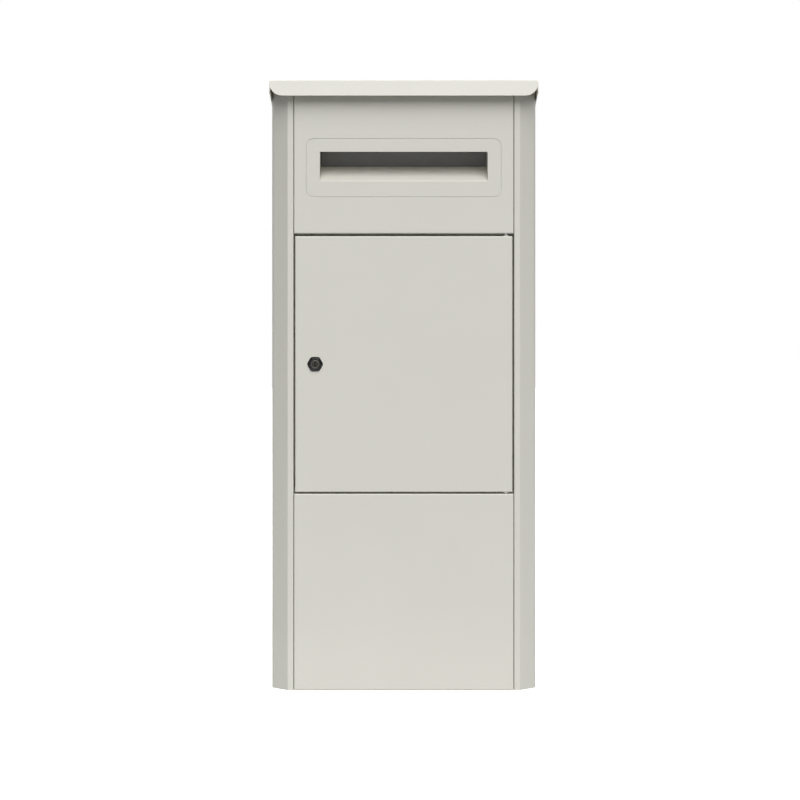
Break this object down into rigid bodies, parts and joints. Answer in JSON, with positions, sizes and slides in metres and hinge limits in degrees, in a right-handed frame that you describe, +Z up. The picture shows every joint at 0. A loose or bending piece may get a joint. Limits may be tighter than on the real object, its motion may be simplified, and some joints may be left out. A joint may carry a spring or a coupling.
{
  "type": "parcel drop box",
  "caption": "Floor-standing folded-steel parcel and letter box with a letter slot, a locked front door and a sloping parcel lid that works a tipping tray",
  "frame": {"origin": "on the floor, at the centre of the four anchor holes in the base plate", "axes": "+Z up, the front with the slot and door faces -Y, +X is to the right seen from the front"},
  "size_m": [0.4472, 0.3647, 1.0174],
  "materials": {
    "body_coat": "semi-gloss warm light grey powder coat with a fine orange peel",
    "rubber_mat": "matt black ribbed rubber",
    "rubber_buffer": "matt black rubber",
    "flap_plastic": "dark grey moulded plastic",
    "nylon": "off-white nylon",
    "lock_black": "black satin cap",
    "lock_metal": "nickel-plated zinc, slightly worn",
    "zinc_steel": "bright zinc plate",
    "painted_heads": "fastener heads coated with the body"
  },
  "bodies": {
    "cabinet": {"left_side_panel": "body_coat", "right_side_panel": "body_coat", "rear_panel": "body_coat", "base_plate": "body_coat", "upper_front_panel": "body_coat", "lower_front_panel": "body_coat", "lower_panel_stiffener": "body_coat", "door_header_rail": "body_coat", "door_sill_rail": "body_coat", "store_floor": "body_coat", "floor_ledges": "body_coat", "floor_mat": "rubber_mat", "slot_plate": "body_coat", "slot_chute": "body_coat", "flap_rod": "zinc_steel", "flap_rod_clips": "zinc_steel", "door_pivot_pins": "zinc_steel", "door_buffers": "rubber_buffer", "lid_pivot_bolts": "painted_heads", "lid_pivot_nuts": "zinc_steel", "lid_pivot_washers": "nylon", "lid_buffers": "rubber_buffer", "tray_pivot_pins": "painted_heads", "tray_pivot_spacers": "zinc_steel", "tray_stop_pins": "zinc_steel", "tray_stop_sleeves": "rubber_buffer", "front_panel_screws": "zinc_steel", "front_panel_nuts": "zinc_steel", "side_rivets": "painted_heads", "rear_rivets": "painted_heads", "rail_rivets": "zinc_steel", "floor_screws": "zinc_steel"},
    "door": {"door_panel": "body_coat", "door_stiffener": "body_coat", "door_pivot_bushes": "nylon", "lock_rosette": "lock_black", "lock_housing": "lock_metal", "lock_nut": "zinc_steel"},
    "lock_core": {"lock_plug": "lock_metal", "lock_cam": "zinc_steel", "lock_cam_screw": "zinc_steel"},
    "flap": {"slot_flap": "flap_plastic"},
    "lid": {"lid": "body_coat", "lid_stiffener": "body_coat", "lid_link_brackets": "body_coat", "lid_bracket_nuts": "zinc_steel", "lid_link_pins": "zinc_steel", "lid_link_washers": "zinc_steel"},
    "links": {"link_left": "zinc_steel", "link_right": "zinc_steel"},
    "tray": {"parcel_tray": "body_coat", "tray_mat": "rubber_mat", "tray_bushes": "nylon", "tray_link_pins": "zinc_steel", "tray_link_clips": "zinc_steel"}
  },
  "joints": [
    {"name": "door_hinge", "type": "hinge", "parent": "cabinet", "child": "door", "pos_m": [0.168, -0.164, 0.535], "axis": [0, 0, 1], "range_deg": [0, 115]},
    {"name": "lock_turn", "type": "hinge", "parent": "door", "child": "lock_core", "pos_m": [-0.1455, -0.16, 0.535], "axis": [0, 1, 0], "range_deg": [0, 90]},
    {"name": "flap_swing", "type": "hinge", "parent": "cabinet", "child": "flap", "pos_m": [0, -0.108, 0.8925], "axis": [1, 0, 0], "range_deg": [0, 60]},
    {"name": "lid_hinge", "type": "hinge", "parent": "cabinet", "child": "lid", "pos_m": [0, 0.156, 0.99971], "axis": [-1, 0, 0], "range_deg": [0, 70]},
    {"name": "link_pivot", "type": "hinge", "parent": "lid", "child": "links", "pos_m": [0, 0.09047, 0.95383], "axis": [-1, 0, 0], "range_deg": [-70, 0]},
    {"name": "tray_pivot", "type": "hinge", "parent": "cabinet", "child": "tray", "pos_m": [0, 0.156, 0.77971], "axis": [-1, 0, 0], "range_deg": [0, 70]}
  ],
  "couplings": [
    {"joint": "link_pivot", "follows": "lid_hinge", "ratio": -1},
    {"joint": "tray_pivot", "follows": "lid_hinge", "ratio": 1}
  ]
}
